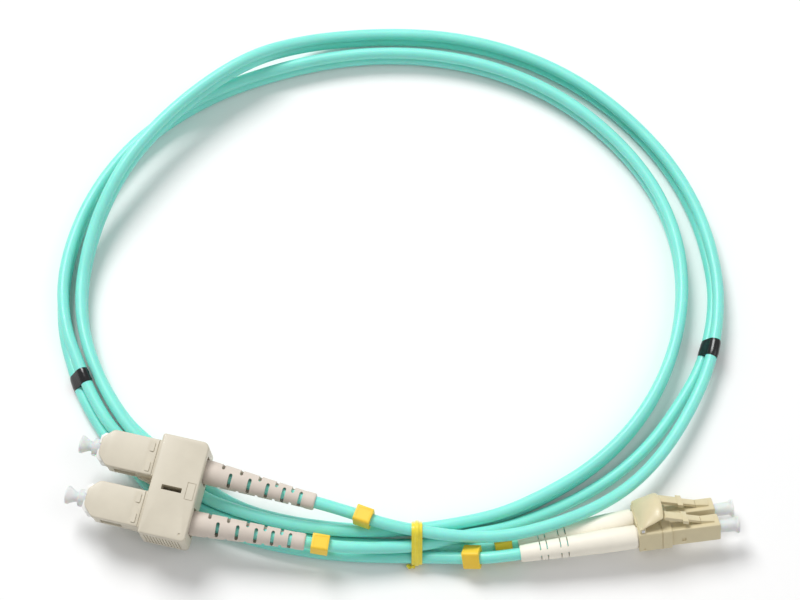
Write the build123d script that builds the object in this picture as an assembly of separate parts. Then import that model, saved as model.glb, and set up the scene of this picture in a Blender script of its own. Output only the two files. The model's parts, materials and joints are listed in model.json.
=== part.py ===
from build123d import *
import math
import os

# Duplex multimode patch cord: two SC connectors in a duplex clip at one end, two LC
# connectors under a shared trigger at the other, and about a metre of zip cord between
# them, wound in two turns and tied.
#
# Frame: millimetres, +Z up, Z = 0 is the surface the cord lies on. The origin is under the
# middle of the box around the two connector ends, and the loop lies towards +Y.
# Each connector is modelled in its own frame: +X runs from the mating face back to the
# cord, Y is across the pair, Z is up. SC_PLACE and LC_PLACE then set it down.

# ---- cord -------------------------------------------------------------------------------
CORD_D = 2.9                # one leg of the zip cord
PAIR_PITCH = 3.05           # between the two legs while they are joined
CORD_R = CORD_D / 2
ARC_SHARE = 0.45            # part of the shorter run that each bend takes up
FIRST_RUN = 7.2             # straight out of a boot

# ---- SC end -----------------------------------------------------------------------------
SC_PITCH = 12.7
SC_SLEEVE = (22.4, 9.0, 7.4)
SC_SLEEVE_BORE = (7.3, 5.6)
SC_FRAME = (20.6, 7.0, 5.3)
SC_FRAME_BORE_D = 4.8
SC_FERRULE_D = 2.5
SC_CLIP = (11.4, 24.6, 10.5)
SC_CLIP_X = 14.2            # front face of the clip behind the mating face
SC_BOOT_ROOT_D = 5.5
SC_BOOT_TIP_D = 3.9
SC_BOOT_LENGTH = 26.9       # outside the clip
SC_BOOT_SLOTS = (6.1, 10.8, 15.2, 19.2, 23.3)       # middles of the slots, top and bottom
SC_BOOT_NOTCHES = (4.0, 8.4, 13.0, 17.2, 21.2)      # middles of the notches at the sides
SC_CAP_OUT = 5.4            # dust cap in front of the mating face

# ---- LC end -----------------------------------------------------------------------------
LC_PITCH = 6.25
LC_BODY = (14.0, 4.5, 4.5)
LC_BORE_D = 3.3
LC_FERRULE_D = 1.25
LC_CLIP_X = 11.7
LC_CLIP = (7.9, 12.0, 5.3)
LC_CLIP_LIFT = 0.1          # middle of the clip above the middle of the plugs
LC_BOOT_ROOT_D = 5.6
LC_BOOT_TIP_D = 4.0
LC_BOOT_LENGTH = 28.0
LC_CAP_OUT = 4.7
LC_PIN = (18.6, 3.35)       # X and Z of the pin the trigger turns on
LC_PIN_D = 0.8

# ---- small parts on the cord ------------------------------------------------------------
BAND_LENGTH = 5.0
BAND_WALL = 0.22
MARKER = (4.1, 4.0, 4.7)
MARKER_BORE_D = 3.25
TIE_WIDTH = 1.9
TIE_WALL = 0.4

# ---- places -----------------------------------------------------------------------------
SC_YAW = -13.3
SC_ROLL = 6.35
SC_AT = Vector(-72.8, 5.6, 9.85)
LC_YAW = 187.4
LC_ROLL = 33.0
LC_AT = Vector(74.8, -3.9, 5.3)

SC_PLACE = Pos(*SC_AT) * Rot(0, 0, SC_YAW) * Rot(SC_ROLL, 0, 0)
LC_PLACE = Pos(*LC_AT) * Rot(0, 0, LC_YAW) * Rot(LC_ROLL, 0, 0)

# Each boot leans a little from its connector's axis: (turn about Z, turn about Y) in degrees.
SC_BOOT_LEAN = {"a": (4.0, 4.0), "b": (-2.2, 3.0)}
LC_BOOT_LEAN = {"a": (-0.5, 2.1), "b": (3.3, 3.1)}
SC_BOOT_ROLL = 28.0         # turn of a boot's slots about its own axis
LC_BOOT_ROLL = 23.0
SIDE = {"a": -1, "b": 1}    # leg a is the near one at the SC end, b the far one

# ---- route ------------------------------------------------------------------------------
# The joined stretch: x, y, lean of the upper leg away from the loop's middle (degrees from
# straight up, 90 is flat), and how far the pair is lifted off the surface.
PAIR_ROUTE = [
    (74.3, 35.3, 40, 0.5),
    (77.2, 45.6, 25, 0.5),
    (78.4, 56.3, 15, 0.2),
    (77.2, 67.5, 15, 0),
    (74.3, 78.7, 10, 0),
    (69.0, 90.2, 5, 0),
    (61.3, 101.0, 0, 0),
    (50.7, 111.6, 0, 0),
    (38.8, 119.6, 0, 0),
    (25.8, 125.2, 0, 0),
    (12.2, 128.4, 0, 0),
    (-1.0, 129.3, 0, 0),
    (-14.0, 128.6, 0, 0.2),
    (-26.3, 125.9, 0, 1.9),
    (-37.6, 119.8, 0, 6.4),
    (-48.8, 112.2, 0, 6.7),
    (-60.2, 101.4, 0, 6.7),
    (-69.6, 89.0, 0, 6.4),
    (-76.0, 76.0, 0, 3.2),
    (-79.3, 63.3, 0, 0.4),
    (-79.7, 51.8, 0, 0),
    (-77.6, 41.6, 0, 0),
    (-73.1, 31.0, 5, 0),
    (-67.4, 21.8, 15, 0),
    (-61.5, 15.8, 30, 0),
    (-54.5, 9.2, 60, 0),
    (-46.9, 3.1, 60, 0),
    (-38.4, -1.1, 30, 0),
    (-28.9, -3.9, 30, 0),
    (-18.4, -5.6, 30, 0),
    (-7.4, -6.4, 25, 0.4),
    (3.6, -6.3, 15, 0.75),
    (13.6, -4.9, 5, 0.4),
    (24.0, -2.5, 0, 0),
    (34.6, 2.5, 0, 0),
    (44.6, 8.6, 0, 0),
    (53.3, 16.4, 0, 0),
    (60.1, 25.3, 0, 0),
    (65.2, 35.2, 0, 0),
    (68.5, 45.6, 0, 0),
    (70.0, 56.3, 0, 0),
    (69.6, 67.3, 0, 0),
    (66.9, 78.3, 0, 0),
    (61.9, 88.8, 0, 0),
    (54.6, 98.6, 0, 0),
    (45.0, 107.9, 0, 0),
    (33.6, 115.3, 0, 0),
    (20.8, 120.5, 0, 0),
    (7.0, 123.3, 0, 0),
    (-6.8, 123.7, 0, 0),
    (-20.4, 122.0, 0, 0),
    (-33.6, 118.4, 0, 0),
    (-46.6, 113.3, 0, 0),
    (-58.4, 106.0, 0, 0),
    (-68.9, 96.7, 0, 0),
    (-77.2, 84.6, 0, 0),
    (-82.4, 71.3, 0, 0),
    (-84.5, 58.0, 0, 0.2),
    (-83.4, 46.0, -15, 0.3),
    (-80.2, 36.7, -32, 0.5),
    (-76.9, 28.4, -42, 0.5),
]
# The split stretches, one list for each leg, from the boot to the joined stretch (SC) and
# from the joined stretch to the boot (LC). The boot tips are added by the code.
SC_LEG = {
    "a": [
        (-5.9, -11.5, 5.9),
        (4.1, -10.9, 5.3),
        (13.6, -8.4, 5.0),
        (24.0, -5.9, 2.9),
        (34.2, -1.7, 1.7),
        (44.2, 3.2, 1.45),
        (53.6, 9.6, 1.45),
        (61.6, 17.6, 1.45),
        (68.0, 26.7, 1.45),
    ],
    "b": [
        (-4.4, -6.6, 9.0),
        (5.6, -8.4, 8.2),
        (15.6, -9.5, 7.9),
        (25.6, -9.2, 8.0),
        (35.8, -6.5, 8.0),
        (46.2, -1.9, 6.8),
        (55.6, 4.5, 5.7),
        (63.8, 13.6, 5.0),
        (70.3, 24.3, 4.4),
    ],
}
LC_LEG = {
    "a": [
        (-72.0, 18.3, 1.45),
        (-65.9, 11.4, 1.45),
        (-59.4, 3.5, 1.45),
        (-50.5, -3.1, 1.45),
        (-40.4, -6.6, 1.45),
        (-30.1, -9.5, 1.45),
        (-19.0, -11.5, 1.45),
        (-7.8, -12.4, 1.85),
        (3.4, -12.6, 2.2),
        (12.6, -13.2, 3.6),
    ],
    "b": [
        (-70.5, 19.5, 4.0),
        (-63.5, 13.8, 1.55),
        (-57.2, 6.0, 1.45),
        (-48.9, -0.3, 1.45),
        (-39.3, -3.65, 1.45),
        (-29.3, -6.6, 1.45),
        (-18.7, -8.4, 1.45),
        (-7.6, -9.3, 1.85),
        (3.4, -9.55, 2.2),
        (12.4, -9.7, 2.15),
    ],
}
TIE_X = 3.6


def block(x0, x1, y0, y1, z0, z1):
    return Pos((x0 + x1) / 2, (y0 + y1) / 2, (z0 + z1) / 2) * Box(x1 - x0, y1 - y0, z1 - z0)


def rod(x0, x1, d, y=0.0, z=0.0):
    """A round bar along X."""
    return Pos((x0 + x1) / 2, y, z) * Rot(0, 90, 0) * Cylinder(d / 2, x1 - x0)


def tube(x0, x1, d, bore):
    return rod(x0, x1, d) - rod(x0 - 1, x1 + 1, bore)


def cone(x0, x1, d0, d1):
    return Pos((x0 + x1) / 2, 0, 0) * Rot(0, 90, 0) * Cone(d0 / 2, d1 / 2, x1 - x0)


# ---- SC connector -----------------------------------------------------------------------
# Sizes inside these functions are in the plug's own frame, from its mating face.
def sc_sleeve():
    """The outer grip: a chamfered nose, a window in each side, two ridges and the key."""
    length, width, height = SC_SLEEVE
    front = 2.3
    nose = 2.5
    outline = Polyline(
        (0, nose - width / 2),
        (front, -width / 2),
        (length, -width / 2),
        (length, width / 2),
        (front, width / 2),
        (0, width / 2 - nose),
        close=True,
    )
    body = extrude(make_face(outline), height / 2, both=True)
    body -= block(-1, length + 1, -SC_SLEEVE_BORE[0] / 2, SC_SLEEVE_BORE[0] / 2,
                  -SC_SLEEVE_BORE[1] / 2, SC_SLEEVE_BORE[1] / 2)
    body -= block(4.2, 9.4, -width, width, 0.6, 1.7)
    for side in (-1, 1):
        body += block(10.2, 11.5, side * 3.2 - 1.0, side * 3.2 + 1.0, height / 2 - 0.2, height / 2 + 0.25)
    body += block(0.8, 12.0, -1.45, 1.45, -height / 2 - 0.7, -height / 2 + 0.2)
    return body


def sc_frame():
    """The white inner body that carries the ferrule."""
    length, width, height = SC_FRAME
    body = block(-0.6, length - 0.6, -width / 2, width / 2, -height / 2, height / 2)
    body = chamfer(body.edges().filter_by(Axis.Z).group_by(Axis.X)[0], 0.9)
    return body - rod(-2, length + 1, SC_FRAME_BORE_D)


def sc_cap():
    """A dust cap over the ferrule: a flared flange, a waist and a base."""
    flange = rod(-SC_CAP_OUT, -SC_CAP_OUT + 1.3, 4.3)
    waist = cone(-SC_CAP_OUT + 1.3, -2.4, 3.1, 2.3)
    base = rod(-2.4, 4.2, 4.2)
    return flange + waist + base - rod(0.15, 5, SC_FERRULE_D + 0.06)


def sc_boot_body():
    """The boot in its own frame: X = 0 where it leaves the clip."""
    inside = 1.0
    root = rod(-inside, 1.2, SC_BOOT_ROOT_D)
    taper = cone(1.2, SC_BOOT_LENGTH - 2.2, SC_BOOT_ROOT_D, SC_BOOT_TIP_D)
    collar = rod(SC_BOOT_LENGTH - 2.2, SC_BOOT_LENGTH, SC_BOOT_TIP_D)
    body = root + taper + collar - rod(-inside - 1, SC_BOOT_LENGTH + 1, CORD_D + 0.1)
    for x in SC_BOOT_SLOTS:
        body -= block(x - 0.4, x + 0.4, -1.8, 1.8, 0.4, 4)
        body -= block(x - 0.4, x + 0.4, -1.8, 1.8, -4, -0.4)
    for x in SC_BOOT_NOTCHES:
        for side in (-1, 1):
            body -= block(x - 0.4, x + 0.4, side * 3.1 - 0.9, side * 3.1 + 0.9, -0.8, 0.8)
    return body


def sc_clip_half(upper):
    """Half of the clip, split at the middle; the upper half has the finger slot."""
    length, width, height = SC_CLIP
    x0 = SC_CLIP_X
    x1 = x0 + length
    z0, z1 = (0.02, height / 2) if upper else (-height / 2, -0.02)
    body = block(x0, x1, -width / 2, width / 2, z0, z1)
    outer = body.edges().filter_by(Axis.X).group_by(Axis.Z)[-1 if upper else 0]
    body = chamfer(outer, 1.3)
    for side in (-1, 1):
        y = side * SC_PITCH / 2
        body -= block(x0 - 1, SC_SLEEVE[0] + 0.1, y - 4.53, y + 4.53, -3.73, 3.73)
        body -= block(x0, x1 + 1, y - 3.15, y + 3.15, -3.15, 3.15)
    if upper:
        body -= block(x0 + 2.75, x0 + 7.75, -0.92, 0.02, -1, height)
    return body


def sc_boot_place(leg):
    turn, dip = SC_BOOT_LEAN[leg]
    at = Pos(SC_CLIP_X + SC_CLIP[0], SIDE[leg] * SC_PITCH / 2, 0)
    return SC_PLACE * at * Rot(0, 0, turn) * Rot(0, dip, 0)


def sc_end(leg):
    """The pieces of one SC connector: name and solid, in place."""
    here = SC_PLACE * Pos(0, SIDE[leg] * SC_PITCH / 2, 0)
    boot_here = sc_boot_place(leg)
    return {
        f"sc_{leg}_sleeve": here * sc_sleeve(),
        f"sc_{leg}_plug_frame": here * sc_frame(),
        f"sc_{leg}_ferrule": here * rod(0.2, 9.8, SC_FERRULE_D),
        f"sc_{leg}_ferrule_flange": here * tube(9.8, 12.0, 4.4, 1.0),
        f"sc_{leg}_spring": here * tube(12.1, 17.6, 4.3, 3.3),
        f"sc_{leg}_rear_body": here * (tube(17.7, 24.2, 4.2, 1.6) + tube(20.05, 21.4, 5.3, 1.6)),
        f"sc_{leg}_buffer": here * rod(12.1, 22.3, 0.9),
        f"sc_{leg}_crimp_ring": here * tube(21.5, 24.2, 5.0, 4.25),
        f"sc_{leg}_boot": boot_here * Rot(SC_BOOT_ROLL, 0, 0) * sc_boot_body(),
        f"sc_{leg}_jacket_end": boot_here * rod(-0.8, SC_BOOT_LENGTH, CORD_D),
        f"sc_{leg}_dust_cap": here * sc_cap(),
    }


# ---- LC connector -----------------------------------------------------------------------
def side_profile(points, half_width):
    """A flat outline of (X, Z) points, made into a solid across the plug."""
    outline = make_face(Polyline(*points, close=True))
    return extrude(Plane.XZ * outline, half_width, both=True)


def lc_housing():
    """The square plug body, with the root of the latch arm raised on top."""
    length, width, height = LC_BODY
    body = block(0, length, -width / 2, width / 2, -height / 2, height / 2)
    body = chamfer(body.edges().group_by(Axis.X)[0], 0.3)
    body += side_profile([(1.2, 2.0), (4.5, 2.0), (4.5, 3.1), (1.2, 2.7)], 1.0)
    body -= rod(-1, length + 1, LC_BORE_D)
    for side in (-1, 1):
        body -= block(8.3, 9.3, side * width / 2 - 0.25, side * width / 2 + 0.25, -1.3, -0.1)
    return body


def lc_latch():
    """A latch arm: it rises from its root on top of the housing towards the trigger."""
    narrow = [(4.6, 2.45), (8.9, 3.67), (8.9, 4.41), (4.9, 3.2), (4.6, 3.1)]
    wide = [(8.9, 3.67), (12.6, 4.72), (13.2, 4.95), (13.2, 5.6), (12.8, 5.6), (8.9, 4.41)]
    lugs = [(7.6, 3.3), (8.9, 3.67), (8.9, 4.41), (7.6, 4.02)]
    return side_profile(narrow, 1.0) + side_profile(wide, 1.25) + side_profile(lugs, 1.9)


def lc_clip():
    """The clip that holds both plugs, with two ears for the trigger's pin."""
    length, width, height = LC_CLIP
    x0 = LC_CLIP_X
    x1 = x0 + length
    z1 = LC_CLIP_LIFT + height / 2
    body = block(x0, x1, -width / 2, width / 2, z1 - height, z1)
    body = chamfer(body.edges().filter_by(Axis.X), 0.5)
    for side in (-1, 1):
        y = side * LC_PITCH / 2
        body -= block(x0 - 1, LC_BODY[0] + 0.1, y - 2.28, y + 2.28, -2.28, 2.28)
        body -= rod(x0, x1 + 1, 4.8, y=y)
        body -= block(x0 + 2.2, x0 + 2.5, side * width / 2 - 0.3, side * width / 2 + 0.3, -height, height)
        ear = side * (width / 2 - 0.75)
        body += block(x1 - 1.8, x1 - 0.2, ear - 0.45, ear + 0.45, z1 - 0.4, z1 + 1.15)
    return body - rod_across(*LC_PIN, LC_PIN_D + 0.02, width + 2)


def rod_across(x, z, d, length):
    """A round bar along Y."""
    return Pos(x, 0, z) * Rot(90, 0, 0) * Cylinder(d / 2, length)


def lc_trigger():
    """The hood over the ends of both latches; it turns about the pin at the back of the clip."""
    outer = [(19.5, 3.05), (19.1, 4.0), (17.6, 5.6), (15.7, 6.7), (13.9, 7.1), (13.2, 6.9)]
    crown = outer + [(13.2, 6.3), (13.9, 6.4), (15.4, 6.0), (17.0, 5.0), (17.8, 4.2), (17.9, 3.05)]
    cheek = outer[1:] + [(13.4, 6.2), (15.6, 5.2), (17.6, 4.3), (18.4, 4.0)]
    inner = LC_CLIP[1] / 2 - 1.35
    outside = LC_CLIP[1] / 2 - 0.3
    hood = side_profile(crown, inner)
    cheeks = side_profile(cheek, outside) - block(10, 21, -inner, inner, 0, 9)
    return hood + cheeks - rod_across(*LC_PIN, LC_PIN_D + 0.06, 20)


def lc_trigger_pin():
    return rod_across(*LC_PIN, LC_PIN_D, LC_CLIP[1] - 0.4)


def lc_boot_body():
    """The boot in its own frame: X = 0 at the back of the clip."""
    tip = LC_BOOT_LENGTH
    plug = rod(-1.6, 0.35, 4.5)
    body = rod(0.35, 8.0, LC_BOOT_ROOT_D) + cone(8.0, tip, LC_BOOT_ROOT_D, LC_BOOT_TIP_D)
    body = body + plug - rod(-3, tip + 1, CORD_D + 0.1)
    for back in (4.8, 6.4, 9.6, 11.3):
        body -= block(tip - back, tip - back + 0.3, -4, 4, 0.65, 4)
        body -= block(tip - back, tip - back + 0.3, -4, 4, -4, -0.65)
    return body


def lc_boot_place(leg):
    turn, dip = LC_BOOT_LEAN[leg]
    at = Pos(LC_CLIP_X + LC_CLIP[0], -SIDE[leg] * LC_PITCH / 2, 0)
    return LC_PLACE * at * Rot(0, 0, turn) * Rot(0, dip, 0)


def lc_cap():
    """A dust cap over the ferrule, with a thin flange."""
    body = rod(-LC_CAP_OUT, -LC_CAP_OUT + 0.8, 4.2) + cone(-LC_CAP_OUT + 0.8, -1.6, 3.3, 3.0)
    body += rod(-1.6, 3.4, 3.0)
    return body - rod(-2.9, 4, LC_FERRULE_D + 0.06)


def lc_end(leg):
    """The pieces of one LC connector: name and solid, in place."""
    here = LC_PLACE * Pos(0, -SIDE[leg] * LC_PITCH / 2, 0)
    boot_here = lc_boot_place(leg)
    return {
        f"lc_{leg}_housing": here * lc_housing(),
        f"lc_{leg}_latch": here * lc_latch(),
        f"lc_{leg}_ferrule": here * rod(-2.8, 6.0, LC_FERRULE_D),
        f"lc_{leg}_ferrule_flange": here * tube(6.0, 7.6, 2.9, 1.0),
        f"lc_{leg}_spring": here * tube(7.7, 11.9, 2.8, 2.0),
        f"lc_{leg}_rear_body": here * (tube(12.0, 17.4, 3.1, 1.2) + tube(14.15, 15.2, 4.4, 1.2)),
        f"lc_{leg}_buffer": here * rod(8.3, 15.2, 0.9),
        f"lc_{leg}_crimp_ring": here * tube(15.3, 17.4, 3.9, 3.15),
        f"lc_{leg}_boot": boot_here * Rot(LC_BOOT_ROLL, 0, 0) * lc_boot_body(),
        f"lc_{leg}_jacket_end": boot_here * rod(-1.6, LC_BOOT_LENGTH, CORD_D),
        f"lc_{leg}_dust_cap": here * lc_cap(),
    }


# ---- cord -------------------------------------------------------------------------------
def pair_points(leg):
    """The joined stretch's points for one leg: a is the lower leg, b the upper."""
    points = []
    for i, (x, y, lean, lift) in enumerate(PAIR_ROUTE):
        before = PAIR_ROUTE[max(i - 1, 0)]
        after = PAIR_ROUTE[min(i + 1, len(PAIR_ROUTE) - 1)]
        along = Vector(after[0] - before[0], after[1] - before[1], 0).normalized()
        outward = Vector(along.Y, -along.X, 0)
        angle = math.radians(lean)
        half = (outward * math.sin(angle) + Vector(0, 0, 1) * math.cos(angle)) * PAIR_PITCH / 2
        middle = Vector(x, y, CORD_R + lift + half.Z)
        points.append(middle + half * SIDE[leg])
    return points


def boot_tip(place, length):
    return (place * Pos(length, 0, 0)).position


def route(leg):
    """One leg of the cord from its SC boot to its LC boot; it leaves each in line with it."""
    start = boot_tip(sc_boot_place(leg), SC_BOOT_LENGTH)
    after_start = boot_tip(sc_boot_place(leg), SC_BOOT_LENGTH + FIRST_RUN)
    before_end = boot_tip(lc_boot_place(leg), LC_BOOT_LENGTH + FIRST_RUN)
    end = boot_tip(lc_boot_place(leg), LC_BOOT_LENGTH)
    sc_leg = [Vector(*p) for p in SC_LEG[leg]]
    lc_leg = [Vector(*p) for p in LC_LEG[leg]]
    return [start, after_start] + sc_leg + pair_points(leg) + lc_leg + [before_end, end]


def bend_radii(points):
    radii = []
    for before, here, after in zip(points, points[1:], points[2:]):
        turn = (here - before).get_angle(after - here)
        run = min((here - before).length, (after - here).length)
        radii.append(ARC_SHARE * run / math.tan(math.radians(turn / 2)))
    return radii


def cord_tube(leg):
    points = route(leg)
    radii = bend_radii(points)
    path = FilletPolyline(*points, radius=radii)
    start = Plane(origin=points[0], z_dir=points[1] - points[0])
    body = sweep(start * Circle(CORD_R), path=path, transition=Transition.RIGHT)
    ideal = math.pi * CORD_R ** 2 * path.length
    runs = [(b - a).length for a, b in zip(points, points[1:])]
    print(f"cord_{leg}: {path.length:.1f} mm long, volume {body.volume:.1f} of {ideal:.1f}")
    print(f"  runs {min(runs):.1f} to {max(runs):.1f} mm, radii " + " ".join(f"{r:.0f}" for r in radii))
    return body


def across(points, i, share=0.5, roll=0.0):
    """A place on run i of a route: X along the run, Z as near up as it can be."""
    run = points[i + 1] - points[i]
    side = Vector(0, 0, 1).cross(run).normalized()
    at = points[i] + run * share
    frame = Plane(origin=at, x_dir=run, z_dir=run.cross(side))
    return frame.location * Rot(roll, 0, 0)


def band(i):
    """A heat-shrink band round both legs where the cord divides, on run i of the pair."""
    lower = pair_points("a")
    upper = pair_points("b")
    middle = [(a + b) / 2 for a, b in zip(lower, upper)]
    gap = (upper[i] + upper[i + 1] - lower[i] - lower[i + 1]) / 2
    run = middle[i + 1] - middle[i]
    tall = (gap - run.normalized() * gap.dot(run.normalized())).normalized()
    place = Plane(origin=middle[i] + run / 2, x_dir=tall, z_dir=run).location
    room = 0.12
    inner = SlotCenterToCenter(gap.length, CORD_D + 2 * room)
    outer = SlotCenterToCenter(gap.length, CORD_D + 2 * room + 2 * BAND_WALL)
    return place * extrude(outer - inner, BAND_LENGTH / 2, both=True)


def marker(place):
    """A clip-on marker: a bore off its middle, and a slit through the thin wall, which
    is turned down and away when it is set on the cord."""
    length, width, height = MARKER
    drop = 0.3
    body = Pos(0, 0, -drop) * Box(length, width, height)
    body = fillet(body.edges().filter_by(Axis.X), 0.5)
    body -= rod(-length, length, MARKER_BORE_D)
    body -= block(-length, length, -0.35, 0.35, 0, height)
    return place * body


def strand_at(points, x):
    """Where a route crosses the plane at x, near the loop's lower side."""
    found = []
    for a, b in zip(points, points[1:]):
        if (a.X - x) * (b.X - x) <= 0 and a.Y < 20:
            share = (x - a.X) / (b.X - a.X)
            spot = a + (b - a) * share
            found.append((spot.Y, spot.Z))
    return found


def tie_ring(spots, room):
    circles = Sketch() + [Pos(y, z) * Circle(CORD_R + room) for y, z in spots]
    return make_hull(circles.edges())


def make_tie(points_a, points_b):
    spots = strand_at(points_a, TIE_X) + strand_at(points_b, TIE_X)
    ring = tie_ring(spots, 0.3 + TIE_WALL) - tie_ring(spots, 0.3)
    loop = Pos(TIE_X, 0, 0) * extrude(Plane.YZ * ring, TIE_WIDTH / 2, both=True)
    near = min(y for y, z in spots)
    tail = Pos(TIE_X - 1.6, near - 2.0, 0.75) * Rot(0, 90, 0) * Cylinder(0.55, 3.6)
    return loop + tail


def write(name, shape):
    solids = shape.solids()
    whole = solids[0] if len(solids) == 1 else Compound(children=list(solids))
    export_step(whole, f"parts/{name}.step")


def main():
    os.makedirs("parts", exist_ok=True)
    parts = {}
    for leg in SIDE:
        parts.update(sc_end(leg))
        parts.update(lc_end(leg))
        parts[f"cord_{leg}"] = cord_tube(leg)
    parts["sc_clip_upper"] = SC_PLACE * sc_clip_half(True)
    parts["sc_clip_lower"] = SC_PLACE * sc_clip_half(False)
    parts["lc_clip"] = LC_PLACE * lc_clip()
    parts["lc_trigger"] = LC_PLACE * lc_trigger()
    parts["lc_trigger_pin"] = LC_PLACE * lc_trigger_pin()
    parts["band_sc"] = band(0)
    parts["band_lc"] = band(len(PAIR_ROUTE) - 2)
    routes = {leg: route(leg) for leg in SIDE}
    last = len(routes["a"]) - 1
    parts["marker_sc_a"] = marker(across(routes["a"], 0, 0.5, roll=180))
    parts["marker_sc_b"] = marker(across(routes["b"], 1, 0.5, roll=180))
    parts["marker_lc_a"] = marker(across(routes["a"], last - 2, 0.5, roll=144))
    parts["marker_lc_b"] = marker(across(routes["b"], last - 1, 0.5, roll=142))
    parts["twist_tie"] = make_tie(routes["a"], routes["b"])
    for name, shape in parts.items():
        write(name, shape)
    print(len(parts), "parts")


main()
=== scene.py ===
import json
import math

import bmesh
import bpy
from mathutils import Matrix, Vector


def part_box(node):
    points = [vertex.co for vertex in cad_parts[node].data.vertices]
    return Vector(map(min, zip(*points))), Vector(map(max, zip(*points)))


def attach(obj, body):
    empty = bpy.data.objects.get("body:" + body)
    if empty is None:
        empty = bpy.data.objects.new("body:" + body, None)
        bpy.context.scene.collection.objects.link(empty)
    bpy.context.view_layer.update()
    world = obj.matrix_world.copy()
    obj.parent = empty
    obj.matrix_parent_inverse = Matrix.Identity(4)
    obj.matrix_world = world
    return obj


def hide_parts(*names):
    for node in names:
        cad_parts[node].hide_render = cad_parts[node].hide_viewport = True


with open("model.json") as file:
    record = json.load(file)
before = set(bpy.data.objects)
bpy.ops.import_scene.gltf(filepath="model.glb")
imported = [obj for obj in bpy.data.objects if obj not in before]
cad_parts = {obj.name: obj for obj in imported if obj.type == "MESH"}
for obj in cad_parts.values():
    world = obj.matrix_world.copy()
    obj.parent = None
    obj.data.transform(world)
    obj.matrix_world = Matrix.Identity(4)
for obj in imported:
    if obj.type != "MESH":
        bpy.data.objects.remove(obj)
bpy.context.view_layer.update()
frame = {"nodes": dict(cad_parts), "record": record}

# Duplex patch cord: SC pair, LC pair and two turns of zip cord. The route and the camera are
# in metres. Every moulded piece is drawn in millimetres in its connector's own frame: X runs
# from the mating face back to the cord, Y across the pair, Z up.
MM = 0.001
SIDE = {"a": -1, "b": 1}

# ---- camera -----------------------------------------------------------------------------
CAMERA_TARGET = Vector((-0.0004, 0.0553, 0.0))
CAMERA_ELEVATION = math.radians(66)
CAMERA_DISTANCE = 0.6
LENS_MM = 108

# ---- cord -------------------------------------------------------------------------------
CORD_D = 0.0029
PAIR_PITCH = 0.00305
FIRST_RUN_MM = 7.2

# ---- connectors, in millimetres -----------------------------------------------------------
SC_PITCH = 12.7
SC_CLIP_FRONT = 14.2
SC_CLIP = (11.4, 24.6, 10.5)
SC_BOOT_LENGTH = 26.9
SC_BOOT_LEAN = {"a": (4.0, 4.0), "b": (-2.2, 3.0)}
SC_BOOT_ROLL = 28
LC_PITCH = 6.25
LC_CLIP_X = (11.7, 19.6)
LC_CLIP_Z = (-2.55, 2.75)
LC_CLIP_HALF = 6.0
LC_BOOT_LENGTH = 28.0
LC_BOOT_LEAN = {"a": (-0.5, 2.1), "b": (3.3, 3.1)}
LC_BOOT_ROLL = 23

# ---- route ------------------------------------------------------------------------------
# The joined stretch: x, y, lean of the upper leg away from the loop's middle (degrees from
# straight up), and how far the pair is lifted off the surface.
PAIR_ROUTE = [
    (0.0743, 0.0353, 40, 0.0005),
    (0.0772, 0.0456, 25, 0.0005),
    (0.0784, 0.0563, 15, 0.0002),
    (0.0772, 0.0675, 15, 0),
    (0.0743, 0.0787, 10, 0),
    (0.069, 0.0902, 5, 0),
    (0.0613, 0.101, 0, 0),
    (0.0507, 0.1116, 0, 0),
    (0.0388, 0.1196, 0, 0),
    (0.0258, 0.1252, 0, 0),
    (0.0122, 0.1284, 0, 0),
    (-0.001, 0.1293, 0, 0),
    (-0.014, 0.1286, 0, 0.0002),
    (-0.0263, 0.1259, 0, 0.0019),
    (-0.0376, 0.1198, 0, 0.0064),
    (-0.0488, 0.1122, 0, 0.0067),
    (-0.0602, 0.1014, 0, 0.0067),
    (-0.0696, 0.089, 0, 0.0064),
    (-0.076, 0.076, 0, 0.0032),
    (-0.0793, 0.0633, 0, 0.0004),
    (-0.0797, 0.0518, 0, 0),
    (-0.0776, 0.0416, 0, 0),
    (-0.0731, 0.031, 5, 0),
    (-0.0674, 0.0218, 15, 0),
    (-0.0615, 0.0158, 30, 0),
    (-0.0545, 0.0092, 60, 0),
    (-0.0469, 0.0031, 60, 0),
    (-0.0384, -0.0011, 30, 0),
    (-0.0289, -0.0039, 30, 0),
    (-0.0184, -0.0056, 30, 0),
    (-0.0074, -0.0064, 25, 0.0004),
    (0.0036, -0.0063, 15, 0.00075),
    (0.0136, -0.0049, 5, 0.0004),
    (0.024, -0.0025, 0, 0),
    (0.0346, 0.0025, 0, 0),
    (0.0446, 0.0086, 0, 0),
    (0.0533, 0.0164, 0, 0),
    (0.0601, 0.0253, 0, 0),
    (0.0652, 0.0352, 0, 0),
    (0.0685, 0.0456, 0, 0),
    (0.07, 0.0563, 0, 0),
    (0.0696, 0.0673, 0, 0),
    (0.0669, 0.0783, 0, 0),
    (0.0619, 0.0888, 0, 0),
    (0.0546, 0.0986, 0, 0),
    (0.045, 0.1079, 0, 0),
    (0.0336, 0.1153, 0, 0),
    (0.0208, 0.1205, 0, 0),
    (0.007, 0.1233, 0, 0),
    (-0.0068, 0.1237, 0, 0),
    (-0.0204, 0.122, 0, 0),
    (-0.0336, 0.1184, 0, 0),
    (-0.0466, 0.1133, 0, 0),
    (-0.0584, 0.106, 0, 0),
    (-0.0689, 0.0967, 0, 0),
    (-0.0772, 0.0846, 0, 0),
    (-0.0824, 0.0713, 0, 0),
    (-0.0845, 0.058, 0, 0.0002),
    (-0.0834, 0.046, -15, 0.0003),
    (-0.0802, 0.0367, -32, 0.0005),
    (-0.0769, 0.0284, -42, 0.0005),
]
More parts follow.
